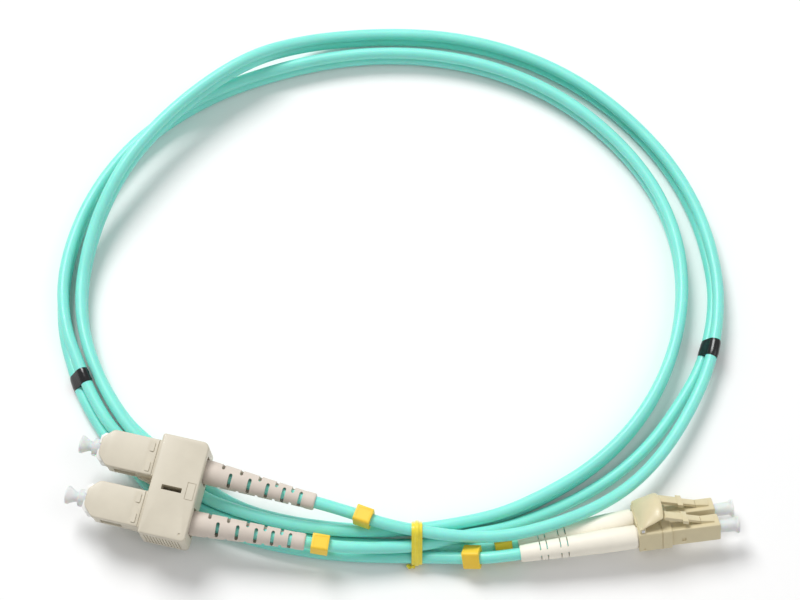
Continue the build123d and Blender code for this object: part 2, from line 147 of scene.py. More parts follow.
SC_LEG = {
    "a": [
        (-0.0059, -0.0115, 0.0059),
        (0.0041, -0.0109, 0.0053),
        (0.0136, -0.0084, 0.005),
        (0.024, -0.0059, 0.0029),
        (0.0342, -0.0017, 0.0017),
        (0.0442, 0.0032, 0.00145),
        (0.0536, 0.0096, 0.00145),
        (0.0616, 0.0176, 0.00145),
        (0.068, 0.0267, 0.00145),
    ],
    "b": [
        (-0.0044, -0.0066, 0.009),
        (0.0056, -0.0084, 0.0082),
        (0.0156, -0.0095, 0.0079),
        (0.0256, -0.0092, 0.008),
        (0.0358, -0.0065, 0.008),
        (0.0462, -0.0019, 0.0068),
        (0.0556, 0.0045, 0.0057),
        (0.0638, 0.0136, 0.005),
        (0.0703, 0.0243, 0.0044),
    ],
}
LC_LEG = {
    "a": [
        (-0.072, 0.0183, 0.00145),
        (-0.0659, 0.0114, 0.00145),
        (-0.0594, 0.0035, 0.00145),
        (-0.0505, -0.0031, 0.00145),
        (-0.0404, -0.0066, 0.00145),
        (-0.0301, -0.0095, 0.00145),
        (-0.019, -0.0115, 0.00145),
        (-0.0078, -0.0124, 0.00185),
        (0.0034, -0.0126, 0.0022),
        (0.0126, -0.0132, 0.0036),
    ],
    "b": [
        (-0.0705, 0.0195, 0.004),
        (-0.0635, 0.0138, 0.00155),
        (-0.0572, 0.006, 0.00145),
        (-0.0489, -0.0003, 0.00145),
        (-0.0393, -0.00365, 0.00145),
        (-0.0293, -0.0066, 0.00145),
        (-0.0187, -0.0084, 0.00145),
        (-0.0076, -0.0093, 0.00185),
        (0.0034, -0.00955, 0.0022),
        (0.0124, -0.0097, 0.00215),
    ],
}
TIE_X = 0.0036


def add_camera():
    data = bpy.data.cameras.new("camera")
    data.lens = LENS_MM
    data.sensor_width = 36
    data.clip_start = 0.01
    data.clip_end = 10
    camera = bpy.data.objects.new("camera", data)
    bpy.context.scene.collection.objects.link(camera)
    back = Vector((0, -math.cos(CAMERA_ELEVATION), math.sin(CAMERA_ELEVATION)))
    camera.location = CAMERA_TARGET + back * CAMERA_DISTANCE
    camera.rotation_mode = "QUATERNION"
    camera.rotation_quaternion = (-back).to_track_quat("-Z", "Y")
    bpy.context.scene.camera = camera


# ---- places -----------------------------------------------------------------------------
def box_centre(node):
    low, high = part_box(node)
    return (Vector(low) + Vector(high)) / 2


def plug_place(mount_name, towards, away):
    """A plug pair's own frame, from its mount and the two caps; it takes millimetres."""
    mount = next(m for m in frame["record"]["mounts"] if m["name"] == mount_name)
    x = -Vector(mount["axis"]).normalized()
    z = x.cross(box_centre(towards) - box_centre(away)).normalized()
    y = z.cross(x)
    turn = Matrix((x, y, z)).transposed().to_4x4()
    return Matrix.Translation(mount["pos_m"]) @ turn @ Matrix.Scale(MM, 4)


def boot_place(plug, back, across, lean):
    turn, dip = (math.radians(angle) for angle in lean)
    at = plug @ Matrix.Translation((back, across, 0))
    return at @ Matrix.Rotation(turn, 4, "Z") @ Matrix.Rotation(dip, 4, "Y")


SC = plug_place("sc_duplex_plug", "sc_b_dust_cap", "sc_a_dust_cap")
LC = plug_place("lc_duplex_plug", "lc_a_dust_cap", "lc_b_dust_cap")
SC_Y = {leg: SIDE[leg] * SC_PITCH / 2 for leg in SIDE}
LC_Y = {leg: -SIDE[leg] * LC_PITCH / 2 for leg in SIDE}
SC_BOOT = {
    leg: boot_place(SC, SC_CLIP_FRONT + SC_CLIP[0], SC_Y[leg], SC_BOOT_LEAN[leg])
    for leg in SIDE
}
LC_BOOT = {leg: boot_place(LC, LC_CLIP_X[1], LC_Y[leg], LC_BOOT_LEAN[leg]) for leg in SIDE}


# ---- cords ------------------------------------------------------------------------------
def pair_points(leg):
    """The joined stretch's points for one leg: a is the lower leg, b the upper."""
    points = []
    for i, (x, y, lean, lift) in enumerate(PAIR_ROUTE):
        before = PAIR_ROUTE[max(i - 1, 0)]
        after = PAIR_ROUTE[min(i + 1, len(PAIR_ROUTE) - 1)]
        along = Vector((after[0] - before[0], after[1] - before[1], 0)).normalized()
        outward = Vector((along.y, -along.x, 0))
        angle = math.radians(lean)
        half = outward * math.sin(angle) + Vector((0, 0, math.cos(angle)))
        half *= PAIR_PITCH / 2
        middle = Vector((x, y, CORD_D / 2 + lift + half.z))
        points.append(middle + half * SIDE[leg])
    return points


def route(leg):
    """One leg of the cord from its SC boot to its LC boot; it leaves each in line with it."""
    start = SC_BOOT[leg] @ Vector((SC_BOOT_LENGTH, 0, 0))
    after_start = SC_BOOT[leg] @ Vector((SC_BOOT_LENGTH + FIRST_RUN_MM, 0, 0))
    before_end = LC_BOOT[leg] @ Vector((LC_BOOT_LENGTH + FIRST_RUN_MM, 0, 0))
    end = LC_BOOT[leg] @ Vector((LC_BOOT_LENGTH, 0, 0))
    sc_leg = [Vector(p) for p in SC_LEG[leg]]
    lc_leg = [Vector(p) for p in LC_LEG[leg]]
    return [start, after_start] + sc_leg + pair_points(leg) + lc_leg + [before_end, end]


SAMPLES_PER_POINT = 12


def cord_curve(name, points, thickness):
    data = bpy.data.curves.new(name, "CURVE")
    data.dimensions = "3D"
    data.bevel_depth = thickness / 2
    data.bevel_resolution = 12
    data.resolution_u = SAMPLES_PER_POINT
    spline = data.splines.new("NURBS")
    spline.points.add(len(points) - 1)
    for knot, point in zip(spline.points, points):
        knot.co = (*point, 1)
    spline.order_u = 3
    spline.use_endpoint_u = True
    cord = bpy.data.objects.new(name, data)
    bpy.context.scene.collection.objects.link(cord)
    return cord


def cord_line(cord):
    """Points along a cord, read from its spline with the thickness taken off for a moment."""
    thickness = cord.data.bevel_depth
    cord.data.bevel_depth = 0
    mesh = bpy.data.meshes.new_from_object(cord)
    points = [vertex.co.copy() for vertex in mesh.vertices]
    cord.data.bevel_depth = thickness
    bpy.data.meshes.remove(mesh)
    return points


bpy.context.scene.view_settings.view_transform = "Standard"
add_camera()
cords = {leg: cord_curve(f"cord_{leg}_jacket", route(leg), CORD_D) for leg in SIDE}
lines = {leg: cord_line(cords[leg]) for leg in SIDE}


# ---- meshes -----------------------------------------------------------------------------
def from_faces(name, vertices, faces):
    mesh = bpy.data.meshes.new(name)
    mesh.from_pydata([tuple(v) for v in vertices], [], faces)
    tidy = bmesh.new()
    tidy.from_mesh(mesh)
    bmesh.ops.recalc_face_normals(tidy, faces=tidy.faces)
    tidy.to_mesh(mesh)
    tidy.free()
    piece = bpy.data.objects.new(name, mesh)
    bpy.context.scene.collection.objects.link(piece)
    return piece


def loft(name, rings, closed=False):
    """A skin over rings of points that all have the same count. It has capped ends unless
    it is closed, when the last ring joins the first."""
    count = len(rings[0])
    vertices = [point for ring in rings for point in ring]
    faces = []
    for k in range(len(rings) if closed else len(rings) - 1):
        here = k * count
        there = (k + 1) % len(rings) * count
        for i in range(count):
            j = (i + 1) % count
            faces.append((here + i, here + j, there + j, there + i))
    if not closed:
        faces.append(tuple(range(count)))
        faces.append(tuple(range(len(vertices) - count, len(vertices))))
    return from_faces(name, vertices, faces)


def prism(name, outline, low, high, axis):
    """An outline made into a solid between two heights on an axis. The outline's points are
    (Y, Z) for axis X, (X, Z) for axis Y, and (X, Y) for axis Z."""
    place = {
        "X": lambda u, v, w: (w, u, v),
        "Y": lambda u, v, w: (u, w, v),
        "Z": lambda u, v, w: (u, v, w),
    }[axis]
    return loft(name, [[place(u, v, w) for u, v in outline] for w in (low, high)])


def block(name, x, y, z):
    """A plain block between two values on each axis, for cuts and small pads."""
    outline = [(x[0], y[0]), (x[1], y[0]), (x[1], y[1]), (x[0], y[1])]
    return prism(name, outline, z[0], z[1], "Z")


def circle(radius, at=(0, 0), steps=48):
    angles = [math.tau * k / steps for k in range(steps)]
    return [(at[0] + radius * math.cos(a), at[1] + radius * math.sin(a)) for a in angles]


def rounded(corners, steps=5):
    """An outline through (u, v, radius) corners, each rounded with its own radius."""
    outline = []
    for k, (u, v, radius) in enumerate(corners):
        here = Vector((u, v))
        before = (Vector(corners[k - 1][:2]) - here).normalized()
        after = (Vector(corners[(k + 1) % len(corners)][:2]) - here).normalized()
        if radius == 0:
            outline.append((u, v))
            continue
        half = before.angle(after) / 2
        reach = radius / math.tan(half)
        middle = here + (before + after).normalized() * radius / math.sin(half)
        start = here + before * reach - middle
        end = here + after * reach - middle
        sweep = start.angle_signed(end)
        for n in range(steps + 1):
            turn = Matrix.Rotation(-sweep * n / steps, 2)
            outline.append(tuple(middle + turn @ start))
    return outline


def round_box(half_u, half_v, radius, at=(0, 0)):
    u, v = at
    return rounded([
        (u - half_u, v - half_v, radius),
        (u + half_u, v - half_v, radius),
        (u + half_u, v + half_v, radius),
        (u - half_u, v + half_v, radius),
    ])


def lathe(name, profile, steps=64):
    """A profile of (x, radius) points, closed on itself and turned about X."""
    rings = []
    for k in range(steps):
        angle = math.tau * k / steps
        rings.append([(x, r * math.cos(angle), r * math.sin(angle)) for x, r in profile])
    return loft(name, rings, closed=True)


def rod(name, x, radius, y=0.0, z=0.0):
    return prism(name, circle(radius, (y, z)), x[0], x[1], "X")


# ---- shaping ----------------------------------------------------------------------------
def bake(piece):
    """Puts what the modifiers make into the mesh."""
    graph = bpy.context.evaluated_depsgraph_get()
    mesh = bpy.data.meshes.new_from_object(piece.evaluated_get(graph))
    piece.modifiers.clear()
    piece.data = mesh


def combine(piece, operation, others):
    for other in others:
        modifier = piece.modifiers.new("combine", "BOOLEAN")
        modifier.operation = operation
        modifier.solver = "EXACT"
        modifier.object = other
    bake(piece)
    for other in others:
        bpy.data.objects.remove(other)
    return piece


def cut(piece, *others):
    return combine(piece, "DIFFERENCE", others)


def join(piece, *others):
    return combine(piece, "UNION", others)


def soften(piece, width, segments=2, angle=35):
    """Rounds the edges sharper than the angle."""
    modifier = piece.modifiers.new("soften", "BEVEL")
    modifier.width = width
    modifier.segments = segments
    modifier.limit_method = "ANGLE"
    modifier.angle_limit = math.radians(angle)
    bake(piece)
    return piece


def finish(piece, place, material, body, nodes=()):
    """Sets a piece down, smooths it, gives it its material and body, and hides the CAD nodes it
    stands in for.
    """
    piece.data.transform(place)
    piece.data.materials.clear()
    piece.data.materials.append(material)
    piece.data.shade_smooth()
    piece.data.set_sharp_from_angle(angle=math.radians(32))
    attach(piece, body)
    if nodes:
        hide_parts(*nodes)
    return piece


# ---- materials --------------------------------------------------------------------------
def shade(nodes, links, colour, mottle, scale):
    """A base colour that drifts a little over the surface."""
    place = nodes.new("ShaderNodeTexCoord")
    broad = nodes.new("ShaderNodeTexNoise")
    broad.inputs["Scale"].default_value = scale
    broad.inputs["Detail"].default_value = 6
    broad.inputs["Roughness"].default_value = 0.62
    ramp = nodes.new("ShaderNodeValToRGB")
    ramp.color_ramp.elements[0].position = 0.32
    ramp.color_ramp.elements[1].position = 0.68
    dark = [c * (1 - mottle) for c in colour]
    light = [min(1, c * (1 + mottle)) for c in colour]
    ramp.color_ramp.elements[0].color = (*dark, 1)
    ramp.color_ramp.elements[1].color = (*light, 1)
    links.new(place.outputs["Object"], broad.inputs["Vector"])
    links.new(broad.outputs["Fac"], ramp.inputs["Fac"])
    return place, broad, ramp.outputs["Color"]


def add_grain(nodes, links, place, bsdf, grain, height):
    """A fine moulded or drawn texture, raised in the bump only."""
    fine = nodes.new("ShaderNodeTexNoise")
    fine.inputs["Scale"].default_value = grain
    fine.inputs["Detail"].default_value = 3
    bump = nodes.new("ShaderNodeBump")
    bump.inputs["Strength"].default_value = 0.35
    bump.inputs["Distance"].default_value = height
    links.new(place.outputs["Object"], fine.inputs["Vector"])
    links.new(fine.outputs["Fac"], bump.inputs["Height"])
    links.new(bump.outputs["Normal"], bsdf.inputs["Normal"])


def add_gloss_range(nodes, links, noise, bsdf, rough):
    """Lets the roughness wander a little, as on handled or moulded plastic."""
    spread = nodes.new("ShaderNodeMapRange")
    spread.inputs["To Min"].default_value = rough * 0.85
    spread.inputs["To Max"].default_value = min(1, rough * 1.2)
    links.new(noise.outputs["Fac"], spread.inputs["Value"])
    links.new(spread.outputs["Result"], bsdf.inputs["Roughness"])


def material(name, colour, rough, mottle=0.03, scale=180, grain=4500, height=0.00002, **sockets):
    made = bpy.data.materials.new(name)
    made.use_nodes = True
    nodes = made.node_tree.nodes
    links = made.node_tree.links
    bsdf = nodes["Principled BSDF"]
    place, noise, tint = shade(nodes, links, colour, mottle, scale)
    links.new(tint, bsdf.inputs["Base Color"])
    add_gloss_range(nodes, links, noise, bsdf, rough)
    add_grain(nodes, links, place, bsdf, grain, height)
    for socket, value in sockets.items():
        bsdf.inputs[socket.replace("_", " ")].default_value = value
    return made


def wound_wire(name, colour, rough, turns):
    """Bright wire: the gaps between the turns of a close spring, in the bump."""
    made = material(name, colour, rough, Metallic=1.0)
    nodes = made.node_tree.nodes
    links = made.node_tree.links
    place = nodes.new("ShaderNodeTexCoord")
    wave = nodes.new("ShaderNodeTexWave")
    wave.inputs["Scale"].default_value = turns
    wave.inputs["Distortion"].default_value = 0.2
    bump = nodes.new("ShaderNodeBump")
    bump.inputs["Distance"].default_value = 0.0001
    links.new(place.outputs["Object"], wave.inputs["Vector"])
    links.new(wave.outputs["Fac"], bump.inputs["Height"])
    links.new(bump.outputs["Normal"], nodes["Principled BSDF"].inputs["Normal"])
    return made


WHITE = (0.86, 0.86, 0.83)
MATERIALS = {
    "sc_housing": material("sc_beige", (0.655, 0.60, 0.485), 0.42, 0.035, 150, Coat_Weight=0.05),
    "lc_housing": material("lc_beige", (0.70, 0.61, 0.39), 0.36, 0.04, 200, Coat_Weight=0.08),
    "sc_boot": material("sc_boot_rubber", (0.68, 0.60, 0.525), 0.62, 0.04, 240, 6000, 0.00003),
    "lc_boot": material("lc_boot_rubber", (0.93, 0.88, 0.76), 0.5, 0.03, 220, 6000, 0.00002),
    "plug_frame": material("frame_white", WHITE, 0.4, 0.02),
    "dust_cap": material(
        "cap_clouded", (0.93, 0.95, 0.94), 0.35, 0.02, 300,
        Transmission_Weight=0.3, IOR=1.3, Subsurface_Weight=0.5, Subsurface_Scale=0.002,
    ),
    "ferrule_ceramic": material("zirconia", (0.88, 0.87, 0.84), 0.12, 0.015, 300),
    "flange_metal": material("nickel", (0.62, 0.61, 0.58), 0.28, 0.06, 400, Metallic=1.0),
    "spring_steel": wound_wire("spring_wire", (0.6, 0.6, 0.62), 0.25, 900),
    "crimp_brass": material("crimp_metal", (0.66, 0.6, 0.46), 0.34, 0.08, 500, Metallic=1.0),
    "buffer": material("buffer_white", (0.8, 0.8, 0.76), 0.5),
    "cord_jacket": material(
        "jacket_aqua", (0.25, 0.82, 0.72), 0.38, 0.035, 90, 3500, 0.00002,
        Subsurface_Weight=0.35, Subsurface_Scale=0.0015, Coat_Weight=0.08,
    ),
    "heat_shrink": material("shrink_black", (0.012, 0.012, 0.013), 0.2, 0.2, 300, 1400, 0.00006),
    "marker": material("marker_yellow", (0.98, 0.64, 0.045), 0.45, 0.03, 220),
    "twist_tie": material("tie_yellow", (0.90, 0.75, 0.05), 0.32, 0.06, 500, Coat_Weight=0.2),
}
for part in frame["record"]["subparts"]:
    shown = frame["nodes"][part["node"]]
    shown.data.materials.clear()
    shown.data.materials.append(MATERIALS[part["material_slot"]])


# ---- SC plugs ---------------------------------------------------------------------------
def sleeve_ring(x, half_width, lower_chamfer):
    """The sleeve's outline across the plug: rounded on top, cut away along the lower edges."""
    half_height = 3.7
    low = min(lower_chamfer, half_width - 0.3)
    corners = [
        (-half_width, half_height, 0.35),
        (half_width, half_height, 0.35),
        (half_width, low - half_height, 0.2),
        (half_width - low, -half_height, 0.2),
        (low - half_width, -half_height, 0.2),
        (-half_width, low - half_height, 0.2),
    ]
    return [(x, y, z) for y, z in rounded(corners, 3)]


def sc_sleeve(name):
    nose = [(0, 1.75), (0.1, 2.1), (0.35, 2.45), (1.9, 4.05), (2.3, 4.35), (2.8, 4.48), (3.4, 4.5)]
    rings = [sleeve_ring(x, half_width, 2.0) for x, half_width in nose]
    for x in (6.0, 9.5, 10.8, 12.0, 13.0, 13.6, 14.1):
        fade = min(1, max(0, (x - 9.5) / 4.7))
        rings.append(sleeve_ring(x, 4.5, max(0.25, 2.0 * math.sqrt(1 - fade ** 2))))
    rings.append(sleeve_ring(22.4, 4.5, 0.25))
    sleeve = loft(name, rings)
    cuts = [
        block("bore", (-1, 23), (-3.65, 3.65), (-2.8, 2.8)),
        block("lower_front", (-1, 2.7), (-5, 5), (-5, 1.6)),
        block("window", (4.2, 9.4), (-6, 6), (-0.9, 2.0)),
        block("top_groove", (13.45, 13.75), (-5, 5), (3.5, 5)),
    ]
    cut(sleeve, *cuts)
    ridges = [
        prism("ridge", round_box(0.55, 1.2, 0.3, (12.2, side * 2.45)), 3.5, 3.95, "Z")
        for side in (-1, 1)
    ]
    key = block("key", (2.6, 12.0), (-1.45, 1.45), (-4.4, -3.4))
    return join(sleeve, key, *ridges)


def sc_frame(name):
    """The white inner body, which shows at the nose and in the side windows."""
    outline = rounded([
        (-0.6, -2.6, 0.2), (0.4, -3.5, 0.2), (20.0, -3.5, 0.2),
        (20.0, 3.5, 0.2), (0.4, 3.5, 0.2), (-0.6, 2.6, 0.2),
    ])
    body = prism(name, outline, -2.65, 2.65, "Z")
    soften(body, 0.2)
    cut(
        body,
        rod("bore", (-2, 21), 2.4),
        block("latch_near", (5.0, 8.0), (-4, -3.1), (-0.5, 1.2)),
        block("latch_far", (5.0, 8.0), (3.1, 4), (-0.5, 1.2)),
        block("front_slot", (-1, 1.2), (-0.8, 0.8), (-3, 3)),
    )
    return body


def sc_cap(name):
    """A soft cap over the ferrule, with a flared grip."""
    return lathe(name, [
        (-5.4, 0.9), (-5.4, 1.95), (-5.25, 2.15), (-4.7, 2.12), (-4.1, 1.72), (-3.5, 1.4),
        (-2.9, 1.2), (-2.45, 1.25), (-2.3, 1.9), (-2.1, 2.1), (4.2, 2.1), (4.2, 1.28),
        (0.15, 1.28), (0.15, 1.0), (-3.8, 0.8), (-4.6, 0.9),
    ])


def sc_boot(name):
    """A tapered sleeve: slots top and bottom, and notches at the sides between them."""
    root = 2.95
    tip = 1.95
    length = SC_BOOT_LENGTH
    boot = lathe(name, [
        (-1.0, 1.5), (-1.0, root - 0.15), (-0.1, root), (1.6, root), (length - 2.4, tip + 0.05),
        (length - 2.2, tip + 0.12), (length - 0.3, tip + 0.1), (length, tip - 0.1), (length, 1.5),
    ], 72)
    cuts = []
    for x in (6.1, 10.8, 15.2, 19.2, 23.3):
        outline = round_box(0.42, 1.85, 0.4, (x, 0))
        cuts.append(prism("slot", outline, 0.4, 4, "Z"))
        cuts.append(prism("slot", outline, -4, -0.4, "Z"))
    for x in (3.9, 8.4, 13.0, 17.2, 21.2):
        outline = round_box(0.4, 1.75, 0.38, (x, 0))
        cuts.append(prism("notch", outline, 0.9, 4, "Y"))
        cuts.append(prism("notch", outline, -4, -0.9, "Y"))
    return cut(boot, *cuts)


def sc_clip_half(name, upper):
    """Half of the clip that holds the two plugs side by side."""
    length, width, height = SC_CLIP
    x0 = SC_CLIP_FRONT
    x1 = x0 + length
    half = width / 2
    outline = rounded([
        (x0, -half, 0.6), (x1, -half, 1.1), (x1, half, 1.6), (x0, half, 0.6),
    ], 6)
    clip = prism(name, outline, -height / 2, height / 2, "Z")
    soften(clip, 0.45, 3, 50)
    seam = ((-40, -0.03), (0.03, 40))[upper]
    cut(clip, block("other_half", (0, 40), (-20, 20), tuple(-z for z in reversed(seam))))
    cuts = []
    for leg in SIDE:
        y = SC_Y[leg]
        cuts.append(block("pocket", (x0 - 1, 22.5), (y - 4.53, y + 4.53), (-3.73, 3.73)))
        cuts.append(prism("exit", round_box(3.15, 3.15, 0.4, (y, 0)), x0, x1 + 1, "X"))
    for side in (-1, 1):
        for k in range(12):
            x = x0 + 1.3 + 0.75 * k
            reach = sorted((side * (half - 0.22), side * (half + 1)))
            cuts.append(block("rib_gap", (x, x + 0.3), reach, (-3.9, 3.9)))
    if upper:
        slot = round_box(2.45, 0.6, 0.1, (x0 + 5.25, -0.45))
        cuts.append(prism("slot", slot, -1, 6, "Z"))
        groove = prism("mark", round_box(1.05, 2.1, 0.15, (x0 + 9.75, -0.2)), 5.1, 6, "Z")
        island = prism("island", round_box(0.9, 1.95, 0.1, (x0 + 9.75, -0.2)), 4, 7, "Z")
        cuts.append(cut(groove, island))
        cuts.append(block("gate_mark", (x1 - 1.9, x1 - 1.4), (-11.0, -10.4), (5.05, 6)))
    return cut(clip, *cuts)


def sc_web(name):
    """The curved web of the clip between the two plugs, set back in the middle."""
    half_width = 1.85
    depth = 4.6
    steps = 8
    front = []
    for k in range(-steps, steps + 1):
        x = SC_CLIP_FRONT - depth * abs(k / steps) ** 2.2
        front.append((x, half_width * k / steps))
    back = SC_CLIP_FRONT + 0.4
    outline = [(back, -half_width)] + front + [(back, half_width)]
    return prism(name, outline, -3.7, -0.5, "Z")


def turned(degrees):
    """A turn about a boot's own axis."""
    return Matrix.Rotation(math.radians(degrees), 4, "X")


def build_sc():
    beige = MATERIALS["sc_housing"]
    for leg in SIDE:
        here = SC @ Matrix.Translation((0, SC_Y[leg], 0))
        sleeve = sc_sleeve(f"sc_{leg}_grip")
        finish(sleeve, here, beige, "sc_grip", [f"sc_{leg}_sleeve"])
        body = sc_frame(f"sc_{leg}_inner_body")
        white = MATERIALS["plug_frame"]
        finish(body, here, white, "root", [f"sc_{leg}_plug_frame"])
        boot = sc_boot(f"sc_{leg}_strain_relief")
        rubber = MATERIALS["sc_boot"]
        boot_turn = SC_BOOT[leg] @ turned(SC_BOOT_ROLL)
        finish(boot, boot_turn, rubber, "root", [f"sc_{leg}_boot"])
        cap = sc_cap(f"sc_{leg}_ferrule_cap")
        clouded = MATERIALS["dust_cap"]
        finish(cap, here, clouded, f"sc_{leg}_cap", [f"sc_{leg}_dust_cap"])
    finish(sc_clip_half("sc_clip_top", True), SC, beige, "sc_grip", ["sc_clip_upper"])
    finish(sc_clip_half("sc_clip_base", False), SC, beige, "sc_grip", ["sc_clip_lower"])
    finish(sc_web("sc_clip_web"), SC, beige, "sc_grip")


# ---- LC plugs ---------------------------------------------------------------------------
def lc_housing(name):
    body = prism(name, round_box(2.25, 2.25, 0.3), 0, 14, "X")
    soften(body, 0.3, 3, 50)
    pad = prism("pad", [(1.3, 2.0), (4.5, 2.0), (4.5, 3.15), (1.3, 2.62)], -1.0, 1.0, "Y")
    join(body, soften(pad, 0.1))
    recesses = [
        block("recess", (8.3, 9.3), sorted((side * 2.0, side * 3)), (-1.2, -0.2)) for side in (-1, 1)
    ]
    return cut(body, rod("bore", (-1, 15), 1.65), *recesses)


def lc_latch(name):
    """The latch arm: narrow at first, two lugs, then a wider end under the trigger."""
    narrow = [(4.6, 2.45), (8.9, 3.67), (8.9, 4.41), (4.9, 3.22), (4.6, 3.15)]
    wide = [(8.7, 3.61), (12.6, 4.72), (13.2, 4.95), (13.25, 5.4), (12.9, 5.65), (8.7, 4.35)]
    lugs = [(7.6, 3.3), (8.9, 3.67), (8.9, 4.5), (7.6, 4.12)]
    arm = prism(name, narrow, -1.0, 1.0, "Y")
    join(arm, prism("wide", wide, -1.25, 1.25, "Y"), prism("lugs", lugs, -1.9, 1.9, "Y"))
    return soften(arm, 0.1)


def lc_clip(name):
    x0, x1 = LC_CLIP_X
    z0, z1 = LC_CLIP_Z
    half = LC_CLIP_HALF
    outline = rounded([(-half, z0, 0.5), (half, z0, 0.5), (half, z1, 0.6), (-half, z1, 0.6)])
    clip = prism(name, outline, x0, x1, "X")
    soften(clip, 0.2, 3, 50)
    cuts = []
    for leg in SIDE:
        y = LC_Y[leg]
        cuts.append(block("pocket", (x0 - 1, 14.1), (y - 2.28, y + 2.28), (-2.28, 2.28)))
        cuts.append(rod("bore", (x0, x1 + 1), 2.4, y))
    for side in (-1, 1):
        reach = sorted((side * (half - 0.18), side * (half + 1)))
        cuts.append(block("step", (x0 + 2.2, x0 + 2.45), reach, (-4, 4)))
        cuts.append(block("dot", (x1 - 1.5, x1 - 1.1), reach, (-1.9, -1.5)))
        saddle = [(x0 + 2.6, z1 - 0.1), (x1 + 1, z1 - 0.1), (x1 + 1, z1 + 2), (x0 + 2.6, z1 + 2)]
        cuts.append(prism("saddle", saddle, *sorted((side * 2.0, side * 4.4)), "Y"))
    cuts.append(block("top_groove", (x0 + 2.2, x0 + 2.45), (-7, 7), (z1 - 0.15, z1 + 1)))
    cut(clip, *cuts)
    ears = [
        prism("ear", rounded([(17.9, 2.4, 0), (19.4, 2.4, 0), (19.4, 3.9, 0.6), (17.9, 3.9, 0.6)]),
              *sorted((side * 4.85, side * 5.6)), "Y")
        for side in (-1, 1)
    ]
    return join(clip, *ears)


# The hood from front to back: X and Z along its middle, then X, Y and Z along its near edge.
HOOD = [
    (13.2, 7.45, 13.6, 5.00, 5.95),
    (14.0, 7.60, 14.3, 5.15, 5.85),
    (14.9, 7.40, 15.1, 5.30, 5.55),
    (15.9, 6.95, 16.0, 5.40, 5.05),
    (16.8, 6.35, 17.0, 5.50, 4.75),
    (17.7, 5.60, 17.9, 5.60, 4.50),
    (18.5, 4.75, 18.6, 5.70, 4.10),
    (19.1, 3.75, 19.2, 5.80, 3.50),
    (19.5, 2.85, 19.6, 5.85, 2.95),
]
HOOD_WALL = 0.6


def lc_hood(name):
    """The trigger's crowned shell: a grid between its middle line and its two edges."""
    across = 10
    vertices = []
    for x, z, edge_x, edge_y, edge_z in HOOD:
        for k in range(-across, across + 1):
            share = abs(k) / across
            fall = share ** 2.5
            vertices.append((x + (edge_x - x) * fall, edge_y * k / across, z + (edge_z - z) * fall))
    row = 2 * across + 1
    faces = []
    for i in range(len(HOOD) - 1):
        for j in range(row - 1):
            faces.append((i * row + j, i * row + j + 1, (i + 1) * row + j + 1, (i + 1) * row + j))
    hood = from_faces(name, vertices, faces)
    if hood.data.polygons[0].normal.z < 0:
        hood.data.flip_normals()
    wall = hood.modifiers.new("wall", "SOLIDIFY")
    wall.thickness = HOOD_WALL
    wall.offset = -1
    wall.use_even_offset = True
    rounder = hood.modifiers.new("rounder", "SUBSURF")
    rounder.levels = 1
    creased = hood.modifiers.new("edge", "BEVEL")
    creased.width = 0.1
    creased.segments = 2
    creased.limit_method = "ANGLE"
    creased.angle_limit = math.radians(50)
    bake(hood)
    return hood


def lc_boot(name):
    tip = LC_BOOT_LENGTH
    boot = lathe(name, [
        (-1.6, 1.5), (-1.6, 2.2), (0.2, 2.2), (0.2, 2.65), (0.5, 2.8), (8.0, 2.8),
        (tip - 0.4, 2.05), (tip, 1.85), (tip, 1.5),
    ], 72)
    cuts = []
    for back in (4.8, 6.4, 9.6, 11.3):
        x = tip - back
        cuts.append(block("slot", (x - 0.14, x + 0.14), (-4, 4), (0.6, 4)))
        cuts.append(block("slot", (x - 0.14, x + 0.14), (-4, 4), (-4, -0.6)))
    return cut(boot, *cuts)


def lc_cap(name):
    return lathe(name, [
        (-4.7, 0.8), (-4.7, 1.95), (-4.55, 2.1), (-4.2, 2.05), (-3.9, 1.75), (-3.5, 1.6),
        (-1.6, 1.5), (3.4, 1.5), (3.4, 0.65), (-2.9, 0.65), (-2.9, 0.5), (-4.2, 0.7),
    ])


def build_lc():
    beige = MATERIALS["lc_housing"]
    for leg in SIDE:
        here = LC @ Matrix.Translation((0, LC_Y[leg], 0))
        housing = lc_housing(f"lc_{leg}_plug_body")
        finish(housing, here, beige, "root", [f"lc_{leg}_housing"])
        latch = lc_latch(f"lc_{leg}_latch_arm")
        finish(latch, here, beige, f"lc_{leg}_latch", [f"lc_{leg}_latch"])
        boot = lc_boot(f"lc_{leg}_strain_relief")
        rubber = MATERIALS["lc_boot"]
        boot_turn = LC_BOOT[leg] @ turned(LC_BOOT_ROLL)
        finish(boot, boot_turn, rubber, "root", [f"lc_{leg}_boot"])
        cap = lc_cap(f"lc_{leg}_ferrule_cap")
        clouded = MATERIALS["dust_cap"]
        finish(cap, here, clouded, f"lc_{leg}_cap", [f"lc_{leg}_dust_cap"])
    finish(lc_clip("lc_pair_clip"), LC, beige, "root", ["lc_clip"])
    finish(lc_hood("lc_trigger_hood"), LC, beige, "lc_trigger", ["lc_trigger"])


# ---- pieces on the cord -----------------------------------------------------------------
def sample_at(control):
    """The sample on a cord's line nearest to a place counted in route points."""
    spans = len(route("a")) - 2
    return round((control - 0.5) / spans * (len(lines["a"]) - 1))


def joined_frames(first, last, step=1):
    """Along the joined stretch: middle, direction from leg a to leg b, and their half gap."""
    found = []
    for k in range(sample_at(first), sample_at(last) + 1, step):
        gap = lines["b"][k] - lines["a"][k]
        middle = (lines["a"][k] + lines["b"][k]) / 2
        along = (lines["a"][k + 1] - lines["a"][k - 1]).normalized()
        tall = (gap - along * gap.dot(along)).normalized()
        found.append((middle, tall, along.cross(tall), gap.length / 2))
    return found


